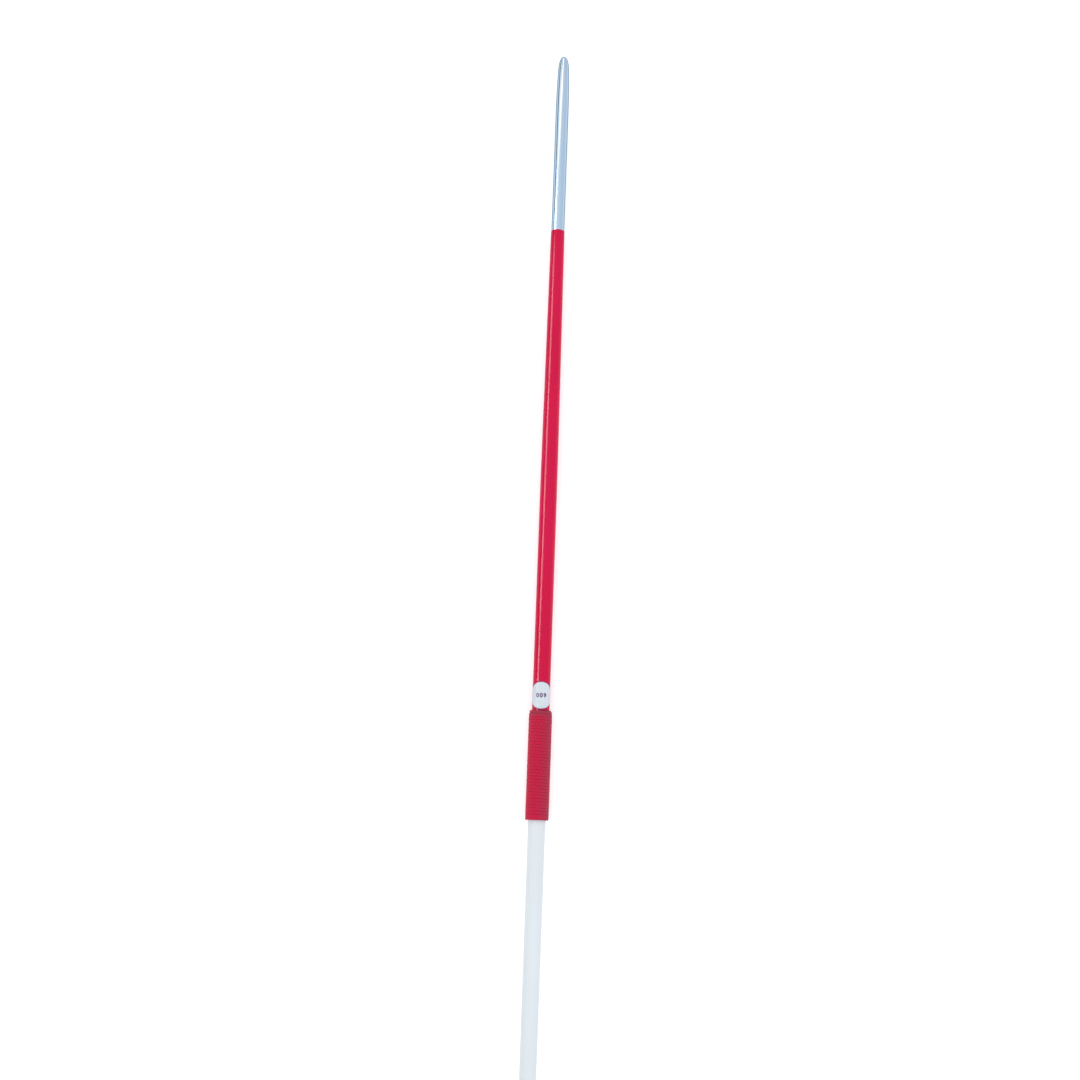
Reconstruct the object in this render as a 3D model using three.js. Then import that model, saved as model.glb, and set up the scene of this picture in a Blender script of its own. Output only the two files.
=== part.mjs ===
// A throwing javelin of the 600 gram class: a blunt steel head on a tapered, painted alloy shaft. The
// shaft is two drawn tubes that meet on an inner sleeve, and a wound cord grip covers the meeting.
// Millimetres. +Y points to the tip and +Z up. The javelin lies on its grip, and the origin is on the
// floor under the middle of the grip. A station is a place along the javelin's own axis.
import * as THREE from "three";

// The whole javelin.
const overallLength = 2250;
const tipToGripMiddle = 945;
const headLength = 250;
const gripLength = 133;
const tubeSides = 36;

// Clearances: a glued radial fit, and the film between a thin skin and what it covers.
const glueFit = 0.15;
const skinFit = 0.1;

// The steel head: a solid nose on a thin-walled tube that swells behind it.
const noseLength = 18;
const noseDiameter = 14;
const noseFlatDiameter = 2.5;
const noseSteps = 9;
const noseShankLength = 14;
const noseShankChamfer = 1;
const headFrontDiameter = 14.4;
const headDiameter = 16.8;
const headSwellLength = 60;
const headSwellSteps = 6;
const headWall = 1.12;
const headEdge = 0.3;

// The spigot glued into the back of the head and the front of the shaft.
const spigotInHead = 45;
const spigotInShaft = 50;
const spigotBore = 10;
const spigotChamfer = 1;

// The shaft: a cone with a rounded-off end in front of the grip, and behind it a slender cone that
// draws in ever more towards the tail.
const shaftFrontDiameter = 17.8;
const shaftDiameter = 21.6;
const shaftWall = 1.5;
const stepBehindGrip = 0.6;
const shaftEdge = 0.45;
const frontTaperLength = 400;
const frontTaperSteps = 10;
const roundedShare = 0.4;
const rearTaperSteps = 16;
const rearConeShare = 0.16;
const rearTaperPower = 4.8;
const tailDiameter = 6;
const tailWall = 1.82;

// The sleeve that joins the two tubes.
const sleeveLength = 140;
const sleeveWall = 1;
const sleeveChamfer = 0.5;

// The plug that closes the tail.
const tailCapLength = 6;
const tailCapEdge = 0.5;
const tailShankLength = 22;
const tailShankPoint = 1.5;

// The grip: a layer of tape, and one cord wound over it.
const tapeThickness = 0.3;
const cordThickness = 3;
const gripTurns = 23.5;
const turnGap = 0.46;
const stepsPerTurn = 24;
const cordFlatShare = 0.1;
const cordBaseShare = 0.86;
const cordCrownShare = 0.46;
const cordWaistShare = 0.45;
const cordEndShare = 0.4;
const rearThinTurns = 0.4;
const frontThinTurns = 1.4;

// The round label in front of the grip, which wraps half of the shaft.
const labelDiameter = 34;
const labelThickness = 0.2;
const labelToGrip = 1;
const labelSteps = 24;

// Places and sizes that follow from those.
const tipStation = tipToGripMiddle;
const noseStation = tipStation - noseLength;
const jointStation = tipStation - headLength;
const frontTaperEnd = jointStation - frontTaperLength;
const rearTaperStart = -gripLength / 2;
const tailStation = tipStation - overallLength;
const tailTubeStation = tailStation + tailCapLength;
const boreRadius = shaftDiameter / 2 - shaftWall;
const rearRadius = (shaftDiameter - stepBehindGrip) / 2;
const rearWall = rearRadius - boreRadius;
const tapeInnerRadius = shaftDiameter / 2 + skinFit;
const tapeOuterRadius = tapeInnerRadius + tapeThickness;
const cordInnerRadius = (tapeOuterRadius + skinFit) / Math.cos(Math.PI / stepsPerTurn);
const gripRadius = cordInnerRadius + cordThickness;
const axisHeight = gripRadius - cordThickness * cordFlatShare;

const javelin = new THREE.Group();
javelin.position.z = axisHeight;

function finish(color, roughness, metalness) {
  return new THREE.MeshStandardMaterial({ color, roughness, metalness });
}

const steel = finish(0xb1c8d6, 0.3, 0.9);
const alloy = finish(0xb4b8bc, 0.4, 0.8);
const redPaint = finish(0xd42350, 0.25, 0);
const whitePaint = finish(0xe4e9ee, 0.3, 0);
const redCord = finish(0xb92849, 0.8, 0);
const tapeCloth = finish(0x961e3a, 0.9, 0);
const labelPaper = finish(0xe8edf5, 0.5, 0);
const whitePlastic = finish(0xdadde0, 0.5, 0);

function addMesh(name, geometry, material) {
  const mesh = new THREE.Mesh(geometry, material);
  mesh.name = name;
  javelin.add(mesh);
}

// A profile runs from the tail end towards the tip along its outside. A solid one starts and ends on
// the axis, and a tube's comes back along its bore and closes on its first point.
function point(radius, station) {
  return new THREE.Vector2(radius, station);
}

function revolved(profile) {
  return new THREE.LatheGeometry(profile, tubeSides);
}

function tubeProfile(outside, bore) {
  return [...outside, ...bore.reverse(), outside[0]];
}

// The points of one curve, from one station to another in even steps.
function curvePoints(from, to, steps, radiusAt) {
  return Array.from({ length: steps + 1 }, (_, i) => {
    const station = THREE.MathUtils.lerp(from, to, i / steps);
    return point(radiusAt(station), station);
  });
}

// The head's outside: it swells in a quarter wave behind the nose, and then runs straight.
function headRadiusAt(station) {
  const along = Math.min((noseStation - station) / headSwellLength, 1);
  const swell = Math.sin((along * Math.PI) / 2);
  return THREE.MathUtils.lerp(headFrontDiameter, headDiameter, swell) / 2;
}

// The shaft's outside in front of the grip: a straight cone whose last share rounds off into the
// parallel tube, as a parabola that leaves the cone without a kink.
function frontRadiusAt(station) {
  const along = Math.min((jointStation - station) / frontTaperLength, 1);
  const slope = 1 / (1 - roundedShare / 2);
  const left = 1 - along;
  const rise = left > roundedShare ? slope * along : 1 - (slope * left * left) / (2 * roundedShare);
  return THREE.MathUtils.lerp(shaftFrontDiameter, shaftDiameter, rise) / 2;
}

// The shaft behind the grip: it loses one share of its radius evenly down to the tail, and the rest of
// what it loses ever faster. Its wall thickens as the tube is drawn down.
function rearTaperAt(station) {
  return Math.max((rearTaperStart - station) / (rearTaperStart - tailStation), 0);
}

function rearRadiusAt(station) {
  const along = rearTaperAt(station);
  const cone = rearRadius * rearConeShare * along;
  const drawnIn = (rearRadius * (1 - rearConeShare) - tailDiameter / 2) * along ** rearTaperPower;
  return rearRadius - cone - drawnIn;
}

function rearBoreAt(station) {
  return rearRadiusAt(station) - THREE.MathUtils.lerp(rearWall, tailWall, rearTaperAt(station));
}

// The nose is a dome that a quarter ellipse draws round a small flat at the tip, with a shank that fills
// the front of the head's bore.
function pointTip() {
  const shankRadius = headFrontDiameter / 2 - headWall - glueFit;
  const shankEnd = noseStation - noseShankLength;
  const dome = Array.from({ length: noseSteps + 1 }, (_, i) => {
    const turn = ((i / noseSteps) * Math.PI) / 2;
    const radius = THREE.MathUtils.lerp(noseFlatDiameter, noseDiameter, Math.cos(turn)) / 2;
    return point(radius, noseStation + noseLength * Math.sin(turn));
  });
  return revolved([
    point(0, shankEnd),
    point(shankRadius - noseShankChamfer, shankEnd),
    point(shankRadius, shankEnd + noseShankChamfer),
    point(shankRadius, noseStation),
    ...dome,
    point(0, tipStation),
  ]);
}

function headTube() {
  const swellEnd = noseStation - headSwellLength;
  const frontRadius = headRadiusAt(noseStation);
  const outside = [
    point(headRadiusAt(jointStation), jointStation),
    ...curvePoints(swellEnd, noseStation - headEdge, headSwellSteps, headRadiusAt),
    point(frontRadius - headEdge, noseStation),
  ];
  const bore = [
    point(headRadiusAt(jointStation) - headWall, jointStation),
    ...curvePoints(swellEnd, noseStation, headSwellSteps, (s) => headRadiusAt(s) - headWall),
  ];
  return revolved(tubeProfile(outside, bore));
}

// A turned plug, bored through, whose rear half follows the widening bore of the shaft.
function headSpigot() {
  const headHalf = headDiameter / 2 - headWall - glueFit;
  const front = jointStation + spigotInHead;
  const back = jointStation - spigotInShaft;
  const shaftHalfAt = (station) => frontRadiusAt(station) - shaftWall - glueFit;
  const outside = [
    point(shaftHalfAt(back) - spigotChamfer, back),
    point(shaftHalfAt(back + spigotChamfer), back + spigotChamfer),
    point(shaftHalfAt(jointStation), jointStation),
    point(headHalf, jointStation),
    point(headHalf, front - spigotChamfer),
    point(headHalf - spigotChamfer, front),
  ];
  const bore = [point(spigotBore / 2, back), point(spigotBore / 2, front)];
  return revolved(tubeProfile(outside, bore));
}

function frontShaft() {
  const outside = [
    point(shaftDiameter / 2, 0),
    ...curvePoints(frontTaperEnd, jointStation - shaftEdge, frontTaperSteps, frontRadiusAt),
    point(frontRadiusAt(jointStation) - shaftEdge, jointStation),
  ];
  const bore = [
    point(boreRadius, 0),
    ...curvePoints(frontTaperEnd, jointStation, frontTaperSteps, (s) => frontRadiusAt(s) - shaftWall),
  ];
  return revolved(tubeProfile(outside, bore));
}

function rearShaft() {
  const outside = [
    ...curvePoints(tailTubeStation, rearTaperStart, rearTaperSteps, rearRadiusAt),
    point(rearRadius, 0),
  ];
  const bore = [
    ...curvePoints(tailTubeStation, rearTaperStart, rearTaperSteps, rearBoreAt),
    point(boreRadius, 0),
  ];
  return revolved(tubeProfile(outside, bore));
}

function centreSleeve() {
  const outer = boreRadius - glueFit;
  const half = sleeveLength / 2;
  const outside = [
    point(outer - sleeveChamfer, -half),
    point(outer, sleeveChamfer - half),
    point(outer, half - sleeveChamfer),
    point(outer - sleeveChamfer, half),
  ];
  const bore = [point(outer - sleeveWall, -half), point(outer - sleeveWall, half)];
  return revolved(tubeProfile(outside, bore));
}

// The tail plug's cap carries the shaft's taper on to a small flat end.
function tailPlug() {
  const shankRadius = rearBoreAt(tailTubeStation) - glueFit;
  const shankEnd = tailTubeStation + tailShankLength;
  return revolved([
    point(0, tailStation),
    point(rearRadiusAt(tailStation) - tailCapEdge, tailStation),
    point(rearRadiusAt(tailStation + tailCapEdge), tailStation + tailCapEdge),
    point(rearRadiusAt(tailTubeStation), tailTubeStation),
    point(shankRadius, tailTubeStation),
    point(shankRadius, shankEnd - tailShankPoint),
    point(0, shankEnd),
  ]);
}

function gripTape() {
  const half = gripLength / 2;
  const outside = [point(tapeOuterRadius, -half), point(tapeOuterRadius, half)];
  const bore = [point(tapeInnerRadius, -half), point(tapeInnerRadius, half)];
  return revolved(tubeProfile(outside, bore));
}

// A closed solid from rings of points, one after another, each with as many points as the first.
function skinned(rings) {
  const sides = rings[0].length;
  const positions = rings.flat().flatMap((p) => p.toArray());
  const faces = [];
  for (let k = 0; k + 1 < rings.length; k++) {
    for (let i = 0; i < sides; i++) {
      const a = k * sides + i;
      const b = k * sides + ((i + 1) % sides);
      faces.push(a, b, b + sides, a, b + sides, a + sides);
    }
  }
  const last = (rings.length - 1) * sides;
  for (let i = 1; i + 1 < sides; i++) {
    faces.push(0, i + 1, i);
    faces.push(last, last + i, last + i + 1);
  }
  const geometry = new THREE.BufferGeometry();
  geometry.setAttribute("position", new THREE.Float32BufferAttribute(positions, 3));
  geometry.setIndex(faces);
  geometry.computeVertexNormals();
  return geometry;
}

// The cord's turns: a six-sided section, flat where it is pulled against the tape, winds from the tail
// side to the tip side. Its ends are pulled thin. What would reach below the floor is pressed flat on it.
// The steps are odd in number, so the middle one crosses straight under the axis, with its flat on the
// floor, and so do those a whole turn from it.
function cordRings() {
  const steps = 2 * Math.floor((gripTurns * stepsPerTurn) / 2) + 1;
  const pitch = (gripLength + turnGap) / (steps / stepsPerTurn + 1);
  const halfWidth = (pitch - turnGap) / 2;
  const section = [
    [-cordBaseShare, 0],
    [-1, cordWaistShare],
    [-cordCrownShare, 1],
    [cordCrownShare, 1],
    [1, cordWaistShare],
    [cordBaseShare, 0],
  ];
  return Array.from({ length: steps + 1 }, (_, k) => {
    const turns = (k - steps / 2) / stepsPerTurn;
    const angle = turns * 2 * Math.PI;
    const fromRear = k / stepsPerTurn / rearThinTurns;
    const fromFront = (steps - k) / stepsPerTurn / frontThinTurns;
    const fullness = THREE.MathUtils.lerp(cordEndShare, 1, Math.min(fromRear, fromFront, 1));
    return section.map(([across, up]) => {
      const radius = cordInnerRadius + up * cordThickness * fullness;
      const x = radius * Math.sin(angle);
      const z = Math.max(-radius * Math.cos(angle), -axisHeight);
      return new THREE.Vector3(x, turns * pitch + across * halfWidth, z);
    });
  });
}

// The least distance between the points of one turn and those of the next.
function leastGap(rings) {
  let least = Infinity;
  for (let k = 0; k + stepsPerTurn < rings.length; k++) {
    for (let j = k + stepsPerTurn / 2; j < Math.min(k + 2 * stepsPerTurn, rings.length); j++) {
      for (const a of rings[k]) for (const b of rings[j]) least = Math.min(least, a.distanceTo(b));
    }
  }
  return least;
}

// The label is a round sticker bent round the shaft, in strips that run along it.
function weightLabel() {
  const inner = shaftDiameter / 2 + skinFit;
  const outer = inner + labelThickness;
  const middle = gripLength / 2 + labelToGrip + labelDiameter / 2;
  const strips = Array.from({ length: labelSteps + 1 }, (_, i) => {
    const turn = (i / labelSteps) * Math.PI;
    const angle = (-Math.cos(turn) * labelDiameter) / shaftDiameter;
    const half = (Math.sin(turn) * labelDiameter) / 2;
    const corner = (radius, station) =>
      new THREE.Vector3(radius * Math.sin(angle), station, radius * Math.cos(angle));
    return [
      corner(inner, middle - half),
      corner(inner, middle + half),
      corner(outer, middle + half),
      corner(outer, middle - half),
    ];
  });
  return skinned(strips);
}

const cord = cordRings();
console.log("grip cord, least gap between its turns: " + leastGap(cord).toFixed(2) + " mm");

addMesh("point_tip", pointTip(), steel);
addMesh("head_tube", headTube(), steel);
addMesh("head_spigot", headSpigot(), alloy);
addMesh("front_shaft", frontShaft(), redPaint);
addMesh("centre_sleeve", centreSleeve(), alloy);
addMesh("rear_shaft", rearShaft(), whitePaint);
addMesh("grip_tape", gripTape(), tapeCloth);
addMesh("grip_cord", skinned(cord), redCord);
addMesh("weight_label", weightLabel(), labelPaper);
addMesh("tail_plug", tailPlug(), whitePlastic);

export default javelin;
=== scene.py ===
from math import copysign, cos, hypot, pi, radians, sin

import bpy
from mathutils import Matrix, Vector


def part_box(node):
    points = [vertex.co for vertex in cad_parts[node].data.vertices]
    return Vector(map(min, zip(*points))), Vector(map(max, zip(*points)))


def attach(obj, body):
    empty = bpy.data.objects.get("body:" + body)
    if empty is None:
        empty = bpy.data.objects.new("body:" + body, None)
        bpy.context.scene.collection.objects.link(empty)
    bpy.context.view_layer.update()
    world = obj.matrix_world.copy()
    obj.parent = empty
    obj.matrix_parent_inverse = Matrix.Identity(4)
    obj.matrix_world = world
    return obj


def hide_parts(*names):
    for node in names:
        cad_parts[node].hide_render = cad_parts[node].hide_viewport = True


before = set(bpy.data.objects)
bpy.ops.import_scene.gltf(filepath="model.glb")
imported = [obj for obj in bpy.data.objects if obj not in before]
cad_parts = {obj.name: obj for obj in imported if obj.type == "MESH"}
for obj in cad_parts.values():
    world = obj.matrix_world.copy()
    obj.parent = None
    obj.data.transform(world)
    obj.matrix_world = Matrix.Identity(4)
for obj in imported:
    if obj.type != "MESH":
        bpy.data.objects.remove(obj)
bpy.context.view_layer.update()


# The javelin lies level on its grip, with its tip towards +Y, and its own axis runs above the floor's
# middle line. The camera looks nearly straight down on it from above the grip, with a standard lens.
mm = 0.001
axis_height = (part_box("front_shaft")[0].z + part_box("front_shaft")[1].z) / 2
camera_place = (4.7 * mm, -88 * mm, 1870 * mm)
camera_tilt = 11.25
camera_heading = 2.06
camera_lens = 50
camera_film_width = 36

bpy.ops.object.camera_add(
    location=camera_place, rotation=(radians(camera_tilt), 0, radians(camera_heading))
)
bpy.context.scene.camera = bpy.context.object
bpy.context.object.data.lens = camera_lens
bpy.context.object.data.sensor_width = camera_film_width
bpy.context.scene.view_settings.view_transform = "Standard"


# The nose is a blunt dome of solid steel with a small flat at the tip, turned in one with a shank that is
# pressed into the front of the head tube. It is polished, and scuffed where it meets the ground.
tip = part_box("point_tip")[1].y
nose_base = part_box("head_tube")[1].y
nose_radius = 7 * mm
nose_flat_radius = 1.25 * mm
nose_shank_radius = 5.9 * mm
nose_shank_length = 14 * mm
nose_steps = 20
tube_sides = 96
# The bluish cast of both steel colours is a painted reflection of a bluish room; the steel itself is a
# neutral grey.
steel_colour = (179, 202, 223)
steel_worn_colour = (148, 167, 184)
steel_edge_tint = (0.04, 0.08, 0.1, 1)
steel_worn_length = 40 * mm


def evenly(start, end, steps):
    """The places from start to end in even steps, both ends among them."""
    return [start + (end - start) * i / steps for i in range(steps + 1)]


def turned(name, profile, solid=False):
    """A skin turned round the javelin's axis: a circle drawn from station to station and resized."""
    (station, radius), *others = profile
    bpy.ops.object.select_all(action="DESELECT")
    bpy.ops.mesh.primitive_circle_add(
        vertices=tube_sides,
        radius=radius,
        fill_type="NGON" if solid else "NOTHING",
        location=(0, station, axis_height),
        rotation=(radians(-90), 0, 0),
    )
    bpy.ops.object.mode_set(mode="EDIT")
    bpy.ops.mesh.select_all(action="SELECT")
    for next_station, next_radius in others:
        step = (0, next_station - station, 0)
        bpy.ops.mesh.extrude_region_move(TRANSFORM_OT_translate={"value": step})
        share = next_radius / radius
        centre = (0, next_station, axis_height)
        bpy.ops.transform.resize(value=(share, 1, share), center_override=centre)
        station, radius = next_station, next_radius
    bpy.ops.object.mode_set(mode="OBJECT")
    piece = bpy.context.object
    piece.name = name
    piece.data.name = name
    bpy.ops.object.transform_apply(location=True, rotation=True, scale=True)
    return piece


def smoothed(piece, crease=35):
    """Turns the piece's faces outwards and shades them smooth, with a crease at sharp corners."""
    bpy.ops.object.mode_set(mode="EDIT")
    bpy.ops.mesh.select_all(action="SELECT")
    bpy.ops.mesh.normals_make_consistent(inside=False)
    bpy.ops.object.mode_set(mode="OBJECT")
    bpy.ops.object.shade_smooth_by_angle(angle=radians(crease))
    return piece


def fitted(piece, node):
    """The piece joins the javelin's body and stands in for its part, whose imported mesh is hidden."""
    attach(piece, "root")
    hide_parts(node)


def linear(colour):
    """A colour as it is seen, from 0 to 255, in the linear values that a shader takes."""
    shares = [c / 255 for c in colour]
    return tuple(c / 12.92 if c <= 0.04045 else ((c + 0.055) / 1.055) ** 2.4 for c in shares)


class Value:
    """One output in a node tree, which Python's own operators combine with others and with numbers."""

    def __init__(self, graph, socket):
        self.graph = graph
        self.socket = socket

    def maths(self, operation, first, second):
        return self.graph.node("ShaderNodeMath", {"operation": operation}, {0: first, 1: second})

    def __add__(self, other):
        return self.maths("ADD", self, other)

    def __sub__(self, other):
        return self.maths("SUBTRACT", self, other)

    def __rsub__(self, other):
        return self.maths("SUBTRACT", other, self)

    def __mul__(self, other):
        return self.maths("MULTIPLY", self, other)

    def __truediv__(self, other):
        return self.maths("DIVIDE", self, other)

    def __pow__(self, other):
        return self.maths("POWER", self, other)

    __radd__ = __add__
    __rmul__ = __mul__

    def clamped(self):
        return self.maths("MINIMUM", self.maths("MAXIMUM", self, 0.0), 1.0)

    def between(self, low, high):
        """0 where the value is low, 1 where it is high, and clamped outside."""
        return ((self - low) / (high - low)).clamped()


class Graph:
    """A node tree in the making."""

    def __init__(self, tree):
        self.tree = tree

    def node(self, kind, settings=None, values=None, out=0):
        """A node of that kind, with its settings made first, and one of its outputs."""
        made = self.tree.nodes.new(kind)
        for name, value in (settings or {}).items():
            setattr(made, name, value)
        for name, value in (values or {}).items():
            if isinstance(value, Value):
                self.tree.links.new(value.socket, made.inputs[name])
            else:
                made.inputs[name].default_value = value
        return Value(self, made.outputs[out])

    def mixed(self, share, first, second):
        """The first colour where the share is 0 and the second where it is 1."""
        colours = [c if isinstance(c, Value) else (*linear(c), 1) for c in (first, second)]
        values = {0: share, 6: colours[0], 7: colours[1]}
        return self.node("ShaderNodeMix", {"data_type": "RGBA"}, values, out=2)


class Finish(Graph):
    """A material in the making, on one Principled shader."""

    def __init__(self, name, **constants):
        self.material = bpy.data.materials.new(name)
        self.material.use_nodes = True
        super().__init__(self.material.node_tree)
        self.shader = self.tree.nodes["Principled BSDF"]
        for socket, value in constants.items():
            self.shader.inputs[socket.replace("_", " ")].default_value = value

    def place(self, stretch=(1, 1, 1)):
        """The piece's own coordinates, stretched along each axis."""
        where = self.node("ShaderNodeTexCoord", out="Object")
        return self.node("ShaderNodeVectorMath", {"operation": "MULTIPLY"}, {0: where, 1: stretch})

    def along(self, axis):
        """The piece's own coordinate along that axis."""
        return self.node("ShaderNodeSeparateXYZ", None, {0: self.place()}, out=axis)

    def noise(self, place, scale, detail=3.0, roughness=0.5):
        """Noise from 0 to 1, with about that many grains to the metre."""
        values = {"Vector": place, "Scale": scale, "Detail": detail, "Roughness": roughness}
        return self.node("ShaderNodeTexNoise", None, values)

    def feed(self, **sockets):
        """Links values to the shader's sockets."""
        for socket, value in sockets.items():
            self.tree.links.new(value.socket, self.shader.inputs[socket.replace("_", " ")])

    def relief(self, height, depth):
        """Bumps of that depth in metres, where the height goes from 0 to 1."""
        normal = self.node("ShaderNodeBump", None, {"Height": height, "Distance": depth})
        self.feed(Normal=normal)

    def on(self, piece):
        """Puts the finished material on the whole piece."""
        piece.data.materials.clear()
        piece.data.materials.append(self.material)


def satin_steel():
    """Turned and polished steel: fine lines round it, a few long scratches, and scuffs near the tip."""
    steel = Finish("satin_steel", Metallic=1.0, Specular_Tint=steel_edge_tint)
    turning = steel.noise(steel.place((30, 2600, 30)), 1.0, detail=2.0)
    scratches = steel.noise(steel.place((900, 14, 900)), 1.0, detail=4.0).between(0.66, 0.72)
    smudges = steel.noise(steel.place((1, 0.4, 1)), 42.0, detail=4.0)
    worn = steel.noise(steel.place((1, 0.3, 1)), 1100.0, detail=5.0).between(0.48, 0.68)
    worn = worn * steel.along("Y").between(tip - steel_worn_length, tip)
    # The steel's colours carry a painted reflection: a bluish cast in place of a bluish room.
    steel.feed(
        Base_Color=steel.mixed(worn + scratches * 0.3, steel_colour, steel_worn_colour),
        Roughness=0.09 + smudges * 0.07 + turning * 0.03 + worn * 0.2 + scratches * 0.1,
    )
    steel.relief(turning * 0.6 + worn * 0.4, 0.006 * mm)
    return steel


def nose():
    shank_end = nose_base - nose_shank_length
    profile = [
        (shank_end, nose_shank_radius),
        (nose_base, nose_shank_radius),
        (nose_base, nose_radius),
    ]
    for turn in evenly(0, pi / 2, nose_steps)[1:]:
        radius = nose_flat_radius + (nose_radius - nose_flat_radius) * cos(turn)
        profile.append((nose_base + (tip - nose_base) * sin(turn), radius))
    return smoothed(turned("nose", profile, solid=True))


nose_piece = nose()
steel = satin_steel()
steel.on(nose_piece)
fitted(nose_piece, "point_tip")


# The head is a thin-walled steel tube that swells behind the nose and then runs straight to the shaft.
# It is drawn, polished round its girth, and glued and pressed on to a spigot at the joint.
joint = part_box("head_tube")[0].y
head_front_radius = 7.2 * mm
head_radius = 8.4 * mm
head_swell_length = 60 * mm
head_swell_steps = 16
head_straight_steps = 8
head_wall = 1.12 * mm
head_edge = 0.3 * mm


def head_radius_at(station):
    """A quarter wave up to the full radius, and then straight."""
    along = min((nose_base - station) / head_swell_length, 1)
    return head_front_radius + (head_radius - head_front_radius) * sin(along * pi / 2)


def rounded_end(end, edge, radius, steps=4):
    """The last points of a profile whose outer corner towards the tip is rounded off by edge."""
    turns = evenly(0, pi / 2, steps)
    return [(end - edge * (1 - sin(turn)), radius - edge * (1 - cos(turn))) for turn in turns]


def walled(piece, wall):
    """Gives a turned skin its wall, inwards, and closes its two ends."""
    smoothed(piece)
    thickness = piece.modifiers.new("wall", "SOLIDIFY")
    thickness.thickness = wall
    thickness.offset = -1
    bpy.ops.object.modifier_apply(modifier="wall")
    return smoothed(piece)


def head():
    swell_end = nose_base - head_swell_length
    swell = evenly(swell_end, nose_base - head_edge, head_swell_steps)
    straight = evenly(joint, swell_end, head_straight_steps)
    profile = [(station, head_radius) for station in straight[:-1]]
    profile += [(station, head_radius_at(station)) for station in swell[:-1]]
    profile += rounded_end(nose_base, head_edge, head_front_radius)
    return walled(turned("head", profile), head_wall)


head_piece = head()
steel.on(head_piece)
fitted(head_piece, "head_tube")


# The spigot is a plug of turned alloy, glued half into the head and half into the shaft, and bored
# through to save weight. It is out of sight, and keeps the lathe's marks.
alloy_colour = (190, 194, 199)
alloy_groove_colour = (150, 154, 160)


def turned_alloy():
    """Bare alloy off the lathe, with even turning marks round it."""
    alloy = Finish("turned_alloy", Metallic=1.0)
    marks = alloy.noise(alloy.place((20, 1800, 20)), 1.0, detail=1.0)
    haze = alloy.noise(alloy.place(), 60.0)
    alloy.feed(
        Base_Color=alloy.mixed(marks, alloy_colour, alloy_groove_colour),
        Roughness=0.28 + haze * 0.15 + marks * 0.1,
    )
    alloy.relief(marks, 0.03 * mm)
    return alloy


alloy = turned_alloy()
alloy.on(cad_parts["head_spigot"])


# The front of the shaft is a drawn alloy tube, a long cone that rounds off into a parallel tube at the
# grip. It is painted red under a clear gloss coat, and its front edge stands a little proud of the head.
shaft_front_radius = 8.9 * mm
shaft_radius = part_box("front_shaft")[1].x
front_taper_length = 400 * mm
front_taper_steps = 48
rounded_share = 0.4
shaft_wall = 1.5 * mm
shaft_edge = 0.45 * mm
red_colour = (215, 4, 71)
red_deep_colour = (209, 2, 65)
scuff_colour = (224, 70, 108)


def front_radius_at(station):
    """A straight cone whose last share rounds off into the parallel tube."""
    along = min((joint - station) / front_taper_length, 1)
    slope = 1 / (1 - rounded_share / 2)
    left = 1 - along
    rise = slope * along if left > rounded_share else 1 - slope * left * left / (2 * rounded_share)
    return shaft_front_radius + (shaft_radius - shaft_front_radius) * rise


def gloss_paint(name, colour, deep_colour, worn_colour):
    """Sprayed paint under a clear coat, uneven in tone, with orange peel, haze and hairline scuffs."""
    paint = Finish(name, Specular_IOR_Level=0.0, Coat_Roughness=0.14, Coat_IOR=1.4)
    clouds = paint.noise(paint.place((1, 0.3, 1)), 30.0, detail=2.0)
    peel = paint.noise(paint.place(), 900.0, detail=1.0)
    haze = paint.noise(paint.place((1, 0.5, 1)), 120.0, detail=4.0)
    hairlines = paint.noise(paint.place((700, 40, 700)), 1.0, detail=3.0).between(0.7, 0.78)
    toned = paint.mixed(clouds.between(0.35, 0.65), colour, deep_colour)
    paint.feed(
        Base_Color=paint.mixed(hairlines * 0.5, toned, worn_colour),
        Roughness=0.32 + haze * 0.14 + hairlines * 0.15,
        Coat_Weight=0.6 - hairlines * 0.3 - haze * 0.12,
    )
    paint.relief(peel + hairlines * 0.5, 0.004 * mm)
    return paint


def front_shaft():
    taper_end = joint - front_taper_length
    stations = [0, *evenly(taper_end, joint - shaft_edge, front_taper_steps)[:-1]]
    profile = [(station, front_radius_at(station)) for station in stations]
    profile += rounded_end(joint, shaft_edge, front_radius_at(joint))
    return walled(turned("front_tube", profile), shaft_wall)


front_piece = front_shaft()
gloss_paint("red_gloss_paint", red_colour, red_deep_colour, scuff_colour).on(front_piece)
fitted(front_piece, "front_shaft")


# The sleeve joins the two tubes under the grip. It is a length of alloy tube, glued inside both, and
# out of sight, with the same turned finish as the spigot.
alloy.on(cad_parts["centre_sleeve"])


# The rear of the shaft is the second drawn tube, painted white. It leaves the grip as a slender cone and
# draws in ever faster towards the tail.
grip_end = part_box("grip_tape")[0].y
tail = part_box("tail_plug")[0].y
rear_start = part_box("rear_shaft")[0].y
rear_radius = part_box("rear_shaft")[1].x
tail_radius = 3 * mm
rear_cone_share = 0.16
rear_taper_power = 4.8
rear_steps = 72
white_colour = (230, 238, 243)
white_deep_colour = (226, 234, 239)
grime_colour = (190, 196, 200)


def rear_radius_at(station):
    """One share is lost evenly down to the tail, and the rest ever faster."""
    along = max((grip_end - station) / (grip_end - tail), 0)
    cone = rear_radius * rear_cone_share * along
    drawn_in = (rear_radius * (1 - rear_cone_share) - tail_radius) * along**rear_taper_power
    return rear_radius - cone - drawn_in


def rear_shaft():
    stations = [*evenly(rear_start, grip_end, rear_steps), 0]
    profile = [(station, rear_radius_at(station)) for station in stations]
    return walled(turned("rear_tube", profile), shaft_wall)


rear_piece = rear_shaft()
gloss_paint("white_gloss_paint", white_colour, white_deep_colour, grime_colour).on(rear_piece)
fitted(rear_piece, "rear_shaft")


# The grip's bed is one layer of cloth tape, wound over the tubes so that the cord doesn't slip. Only its
# edges show, at the two ends of the cord.
tape_colour = (150, 30, 58)
tape_gap_colour = (96, 16, 34)
tape_thread_scale = 420.0


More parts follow.
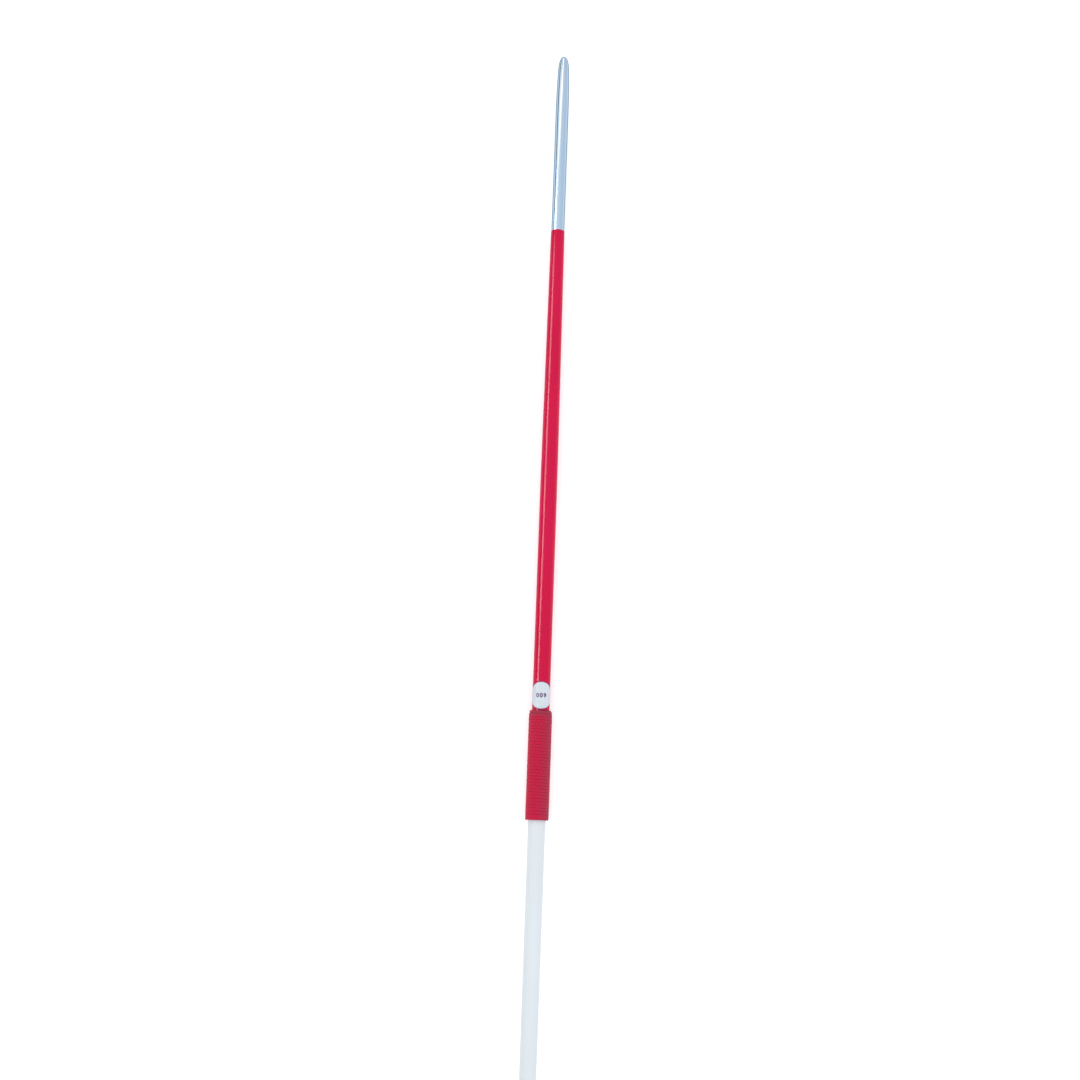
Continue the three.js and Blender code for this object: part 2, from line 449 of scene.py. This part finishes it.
def plain_weave():
    """Dyed cotton tape: crossing threads with darker gaps between them."""
    cloth = Finish("tape_weave", Roughness=0.9, Specular_IOR_Level=0.2)
    values = {"Vector": cloth.place(), "Scale": tape_thread_scale}
    across = cloth.node("ShaderNodeTexWave", {"bands_direction": "X"}, values, out="Fac")
    along = cloth.node("ShaderNodeTexWave", {"bands_direction": "Y"}, values, out="Fac")
    weave = across * along
    cloth.feed(Base_Color=cloth.mixed(weave, tape_gap_colour, tape_colour))
    cloth.relief(weave, 0.15 * mm)
    return cloth


plain_weave().on(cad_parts["grip_tape"])


# The grip is one cotton cord of three strands, wound tightly over the tape from the tail side to the tip
# side, each turn against the last. Its ends are drawn thin and tucked under, and where the javelin lies
# on it the turns are pressed flat.
grip_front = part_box("grip_tape")[1].y
cord_inner_radius = 11.4 * mm
cord_thickness = 3 * mm
cord_width = 3.8 * mm
strands = 3
cord_lay = 12.48 * mm
strand_depth_share = 0.045
steps_per_turn = 120
cord_sides = 18
cord_squareness = 0.2
rear_thin_turns = 0.4
front_thin_turns = 2.0
thin_share = 0.4
tucked_turns = 0.7
# The length at the cord's front end over which it is drawn darker.
front_darkening_length = 9 * mm
# The span across the cord, towards its right, over which painted shade darkens it.
right_shade_span = (-3.5 * mm, 12 * mm)
cord_colour = (206, 4, 63)
# The groove colour is painted shade in the grooves between the cord's strands.
cord_groove_shade_colour = (184, 4, 54)
cord_fibre_colour = (220, 44, 86)
# This colour is painted shade on the cord's right side, and also darkens its front end.
cord_shade_and_darkening_colour = (166, 50, 76)


def squared_off(value):
    """A sine or a cosine pushed out towards 1 or -1, which makes a rounded square of a circle."""
    return copysign(abs(value) ** cord_squareness, value)


def wound_cord():
    """One closed tube along the cord's helix, whose UV map counts strands and then metres along them."""
    rising_turns = (grip_front - grip_end) / cord_width - 1
    steps = round((rising_turns + 2 * tucked_turns) * steps_per_turn)
    mean_radius = cord_inner_radius + cord_thickness / 2
    length_of_step = hypot(2 * pi * mean_radius, cord_width) / steps_per_turn
    points = []
    crowns = []
    for k in range(steps + 1):
        turn = k / steps_per_turn
        angle = 2 * pi * turn
        risen = min(max(turn - tucked_turns, 0), rising_turns)
        middle = grip_end + cord_width / 2 + risen * cord_width
        thinned = min(turn / rear_thin_turns, (steps - k) / steps_per_turn / front_thin_turns, 1)
        fullness = thin_share + (1 - thin_share) * sin(thinned * pi / 2)
        for i in range(cord_sides):
            round_it = 2 * pi * i / cord_sides
            strand = cos(strands * (round_it - 2 * pi * k * length_of_step / cord_lay))
            swell = 1 - strand_depth_share * (1 - strand)
            across = swell * squared_off(cos(round_it))
            up = swell * squared_off(sin(round_it))
            radius = cord_inner_radius + (1 + up) * fullness * cord_thickness / 2
            height = max(axis_height - radius * cos(angle), 0)
            points.append((radius * sin(angle), middle + across * cord_width / 2, height))
            crowns.append((1 + strand) / 2)
    faces = []
    corners = []
    for k in range(steps):
        for i in range(cord_sides):
            around = [(i, k), (i + 1, k), (i + 1, k + 1), (i, k + 1)]
            faces.append([ring * cord_sides + side % cord_sides for side, ring in around])
            corners += around
    last = steps * cord_sides
    faces.append(tuple(reversed(range(cord_sides))))
    faces.append(tuple(range(last, last + cord_sides)))
    corners += [(0, 0)] * cord_sides + [(0, steps)] * cord_sides
    mesh = bpy.data.meshes.new("wound_cord")
    mesh.from_pydata(points, [], faces)
    uv = mesh.uv_layers.new(name="along_strands")
    for place, (i, k) in zip(uv.data, corners):
        metres = k * length_of_step
        place.uv = (strands * (i / cord_sides - metres / cord_lay), metres)
    crown = mesh.attributes.new("crown", "FLOAT", "POINT")
    crown.data.foreach_set("value", crowns)
    piece = bpy.data.objects.new("wound_cord", mesh)
    bpy.context.scene.collection.objects.link(piece)
    bpy.ops.object.select_all(action="DESELECT")
    piece.select_set(True)
    bpy.context.view_layer.objects.active = piece
    return smoothed(piece, crease=60)


def cotton_cord():
    """Dyed cotton with fine paler fibres, painted shade in the grooves between the strands and on its
    right side, and darker towards its front end.
    """
    cotton = Finish(
        "cotton_cord",
        Roughness=0.85,
        Specular_IOR_Level=0.2,
        Sheen_Weight=0.15,
        Sheen_Roughness=0.5,
    )
    crown = cotton.node("ShaderNodeAttribute", {"attribute_name": "crown"}, out="Fac")
    strand = cotton.node("ShaderNodeUVMap", {"uv_map": "along_strands"})
    twisted = cotton.node("ShaderNodeVectorMath", {"operation": "MULTIPLY"}, {0: strand, 1: (12, 300, 1)})
    fibres = cotton.noise(twisted, 1.0, detail=3.0)
    fading = cotton.noise(cotton.place(), 45.0, detail=3.0)
    # Painted shade: darker in the grooves between the strands, where the crown attribute is low.
    groove_shade = cotton.mixed(1 - (1 - crown) ** 3, cord_groove_shade_colour, cord_colour)
    pale = fibres.between(0.45, 0.7) * crown * 0.5 + fading.between(0.5, 0.8) * 0.1
    faded = cotton.mixed(pale, groove_shade, cord_fibre_colour)
    # Darker over the last few millimetres of the cord's front end.
    front_end = cotton.along("Y").between(grip_front - front_darkening_length, grip_front - front_darkening_length / 2)
    # Painted shade: the cord grows darker towards its right side.
    right_side_shade = cotton.along("X").between(*right_shade_span)
    # Painted shade on the right side, the darker front end and a little random tone, all towards one
    # darker colour.
    shade_and_darkening = (front_end * 0.8 + right_side_shade * 0.6 + fading * 0.1).clamped()
    cotton.feed(Base_Color=cotton.mixed(shade_and_darkening, faded, cord_shade_and_darkening_colour))
    cotton.relief(fibres, 0.12 * mm)
    return cotton


cord_piece = wound_cord()
cotton_cord().on(cord_piece)
fitted(cord_piece, "grip_cord")


# The weight label is a round sticker of white film, bent round half the shaft in front of the grip, with
# a thin printed ring at its rim and a plain number. It is read from the tip's side.
label_radius = (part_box("weight_label")[1].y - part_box("weight_label")[0].y) / 2
label_middle = (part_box("weight_label")[1].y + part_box("weight_label")[0].y) / 2
label_inner_radius = 10.9 * mm
label_thickness = 0.2 * mm
ring_width = 0.8 * mm
label_sides = 96
strip_width = 0.8 * mm
number = "600"
number_height = 5.8 * mm
number_spacing = 1.3
number_boldness = 0.3 * mm
number_curve_steps = 6
ink_thickness = 0.04 * mm
film_colour = (218, 228, 236)
film_yellowed_colour = (211, 221, 228)
ink_colour = (98, 66, 116)
ink_worn_colour = (132, 108, 154)


def cut_in_strips(half_width):
    """Cuts the mesh being edited into narrow strips along the javelin, so that it can bend."""
    count = round(half_width / strip_width)
    for i in range(-count, count + 1):
        bpy.ops.mesh.select_all(action="SELECT")
        bpy.ops.mesh.bisect(plane_co=(i * strip_width, 0, 0), plane_no=(1, 0, 0))


def bent_round(piece, radius, thickness):
    """Bends a flat piece round the shaft, at the label's place and that radius, and thickens it."""
    for vertex in piece.data.vertices:
        angle = vertex.co.x / label_inner_radius
        vertex.co = (
            radius * sin(angle),
            label_middle + vertex.co.y,
            axis_height + radius * cos(angle),
        )
    skin = piece.modifiers.new("thickness", "SOLIDIFY")
    skin.thickness = thickness
    skin.offset = 1
    bpy.ops.object.modifier_apply(modifier="thickness")


def label(film, ink):
    """A disc of film with a rim of ink, bent round the shaft."""
    bpy.ops.object.select_all(action="DESELECT")
    bpy.ops.mesh.primitive_circle_add(vertices=label_sides, radius=label_radius, fill_type="NGON")
    piece = bpy.context.object
    piece.name = "label"
    piece.data.name = "label"
    bpy.ops.object.mode_set(mode="EDIT")
    bpy.ops.mesh.select_all(action="SELECT")
    bpy.ops.mesh.inset(thickness=ring_width)
    cut_in_strips(label_radius)
    bpy.ops.object.mode_set(mode="OBJECT")
    piece.data.materials.append(film.material)
    piece.data.materials.append(ink.material)
    for face in piece.data.polygons:
        face.material_index = int(face.center.length > label_radius - ring_width)
    bent_round(piece, label_inner_radius, label_thickness)
    return smoothed(piece)


def label_number():
    """The number, turned so that it is read from the tip's side, bent round on top of the film."""
    bpy.ops.object.select_all(action="DESELECT")
    bpy.ops.object.text_add()
    text = bpy.context.object.data
    text.body = number
    text.space_character = number_spacing
    text.size = number_height
    text.offset = number_boldness
    text.resolution_u = number_curve_steps
    bpy.ops.object.convert(target="MESH")
    piece = bpy.context.object
    piece.name = "label_number"
    piece.data.name = "label_number"
    low = [min(v.co[axis] for v in piece.data.vertices) for axis in (0, 1)]
    high = [max(v.co[axis] for v in piece.data.vertices) for axis in (0, 1)]
    share = number_height / (high[1] - low[1])
    for vertex in piece.data.vertices:
        x, y = vertex.co.x - (low[0] + high[0]) / 2, vertex.co.y - (low[1] + high[1]) / 2
        vertex.co = (-x * share, -y * share, 0)
    bpy.ops.object.mode_set(mode="EDIT")
    cut_in_strips((high[0] - low[0]) * share / 2)
    bpy.ops.object.mode_set(mode="OBJECT")
    bent_round(piece, label_inner_radius + label_thickness, ink_thickness)
    return smoothed(piece)


def label_film():
    """White film with a faint bluish cast, a little grime and a soft gloss."""
    film = Finish("label_film", Specular_IOR_Level=0.2, Coat_Roughness=0.25)
    grime = film.noise(film.place(), 160.0, detail=4.0)
    film.feed(
        Base_Color=film.mixed(grime.between(0.4, 0.75), film_colour, film_yellowed_colour),
        Roughness=0.4 + grime * 0.2,
        Coat_Weight=0.05 + grime * 0.1,
    )
    film.relief(film.noise(film.place(), 500.0), 0.01 * mm)
    return film


def printed_ink():
    """Dark plum ink, a little thin in places."""
    ink = Finish("printed_ink")
    thin = ink.noise(ink.place(), 900.0, detail=3.0)
    ink.feed(
        Base_Color=ink.mixed(thin.between(0.45, 0.8), ink_colour, ink_worn_colour),
        Roughness=0.45 + thin * 0.2,
    )
    return ink


film = label_film()
ink = printed_ink()
label_piece = label(film, ink)
fitted(label_piece, "weight_label")
number_piece = label_number()
ink.on(number_piece)
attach(number_piece, "root")


# The tail plug is a small moulding of white plastic, pushed into the end of the rear tube. Its cap
# carries the taper on to a flat end with a rounded edge.
cap_edge = 0.8 * mm
cap_edge_steps = 5
cap_steps = 6
plug_shank_radius = 1.15 * mm
plug_shank_length = 22 * mm
plastic_colour = (218, 221, 224)
plastic_worn_colour = (196, 198, 200)
plastic_worn_length = 3 * mm


def tail_cap():
    edge = [
        (tail + cap_edge * (1 - cos(turn)), rear_radius_at(tail + cap_edge) - cap_edge * (1 - sin(turn)))
        for turn in evenly(0, pi / 2, cap_edge_steps)
    ]
    stations = evenly(tail + cap_edge, rear_start, cap_steps)
    body = [(station, rear_radius_at(station)) for station in stations[1:]]
    shank = [(rear_start, plug_shank_radius), (rear_start + plug_shank_length, plug_shank_radius)]
    return smoothed(turned("tail_cap", edge + body + shank, solid=True))


def moulded_plastic():
    """White plastic with the mould's fine grain, dulled where it is set down."""
    plastic = Finish("moulded_plastic")
    grain = plastic.noise(plastic.place(), 1500.0, detail=2.0)
    near_end = plastic.along("Y").between(tail + plastic_worn_length, tail)
    dulled = plastic.noise(plastic.place(), 600.0, detail=4.0) * near_end
    plastic.feed(
        Base_Color=plastic.mixed(dulled, plastic_colour, plastic_worn_colour),
        Roughness=0.4 + grain * 0.1 + dulled * 0.2,
    )
    plastic.relief(grain, 0.02 * mm)
    return plastic


tail_piece = tail_cap()
moulded_plastic().on(tail_piece)
fitted(tail_piece, "tail_plug")


# The studio: a pale floor that the javelin lies on, in a pale room that grows dimmer to the right and is
# dark low on the left, most so in the corner beyond the head. Soft lamps above on the left show as one
# streak along the javelin.
floor_size = 40
floor_colour = (246, 247, 248)
floor_glow = 0.36
room_colour = (255, 255, 255)
room_right_colour = (238, 240, 243)
room_low_colour = (80, 86, 94)
room_low_share = 0.02
room_full_shares = (0.05, 0.25)
corner_colour = (30, 50, 58)
corner_spans = {"X": (-0.5, -0.7), "Y": (0.34, 0.4), "Z": (0.3, 0.2)}
room_strength = 1.06
white_light = (1, 1, 1)
warm_light = (1, 0.6, 0.31)
lamp_aim_share = 0.5
shaft_lamp_ends = ((-2.02, 0.1, 1.42), (-1.8, 1.67, 1.48))
head_lamp_ends = ((-1.7, 1.67, 1.54), (-1.3, 1.95, 1.76))
tip_lamp_ends = (head_lamp_ends[1], (-0.5, 2.15, 2.2))
nose_lamp_ends = (tip_lamp_ends[1], (-0.15, 3.0, 0.8))


def floor():
    bpy.ops.object.select_all(action="DESELECT")
    bpy.ops.mesh.primitive_plane_add(size=floor_size)
    piece = bpy.context.object
    piece.name = "floor"
    paper = Finish("floor_paper", Roughness=1.0, Specular_IOR_Level=0.0)
    paper.shader.inputs["Base Color"].default_value = (*linear(floor_colour), 1)
    paper.shader.inputs["Emission Color"].default_value = (1, 1, 1, 1)
    seen = paper.node("ShaderNodeLightPath", out="Is Camera Ray")
    mirrored = paper.node("ShaderNodeLightPath", out="Is Glossy Ray")
    through_glass = paper.node("ShaderNodeLightPath", out="Is Transmission Ray")
    paper.feed(Emission_Strength=(seen + mirrored + through_glass) * floor_glow)
    paper.on(piece)


def lamp(name, start, end, width, radiance, colour):
    """A soft lamp from one end to the other that faces the javelin, and shows in its gloss alone."""
    start, end = Vector(start), Vector(end)
    middle = (start + end) / 2
    along = (end - start).normalized()
    aimed_at = Vector((0, middle.y * lamp_aim_share, 0))
    facing = (middle - aimed_at).normalized()
    across = along.cross(facing).normalized()
    facing = across.cross(along)
    bpy.ops.object.light_add(type="AREA")
    made = bpy.context.object
    made.name = name
    made.matrix_world = Matrix.Translation(middle) @ Matrix((across, along, facing)).transposed().to_4x4()
    made.visible_diffuse = False
    made.data.shape = "RECTANGLE"
    made.data.size = width
    made.data.size_y = (end - start).length
    made.data.energy = radiance * pi * width * made.data.size_y
    made.data.color = colour


def room():
    """The world's light, by how far it comes from the left or the right, and its dark corner.

    The camera sees plain white behind the floor.
    """
    world = bpy.data.worlds.new("room")
    bpy.context.scene.world = world
    world.use_nodes = True
    graph = Graph(world.node_tree)
    direction = graph.node("ShaderNodeTexCoord", out="Generated")
    towards = {axis: graph.node("ShaderNodeSeparateXYZ", None, {0: direction}, out=axis) for axis in "XYZ"}
    walls = graph.node("ShaderNodeValToRGB", None, {"Fac": (towards["X"] + 1) / 2})
    ramp = walls.socket.node.color_ramp
    ramp.interpolation = "EASE"
    left, right = ramp.elements
    left.position = room_low_share
    left.color = (*linear(room_low_colour), 1)
    right.color = (*linear(room_right_colour), 1)
    for share in room_full_shares:
        ramp.elements.new(share).color = (*linear(room_colour), 1)
    near_corner = 1
    for axis, span in corner_spans.items():
        near_corner *= towards[axis].between(*span)
    light = graph.mixed(near_corner, walls, corner_colour)
    seen = graph.node("ShaderNodeLightPath", out="Is Camera Ray")
    background = graph.tree.nodes["Background"]
    background.inputs["Strength"].default_value = room_strength
    graph.tree.links.new(graph.mixed(seen, light, room_colour).socket, background.inputs["Color"])


floor()
lamp("shaft_lamp", *shaft_lamp_ends, width=0.85, radiance=11, colour=white_light)
lamp("head_lamp", *head_lamp_ends, width=1.25, radiance=0.72, colour=warm_light)
lamp("tip_lamp", *tip_lamp_ends, width=0.35, radiance=1.5, colour=warm_light)
lamp("nose_lamp", *nose_lamp_ends, width=0.4, radiance=2.6, colour=warm_light)
room()
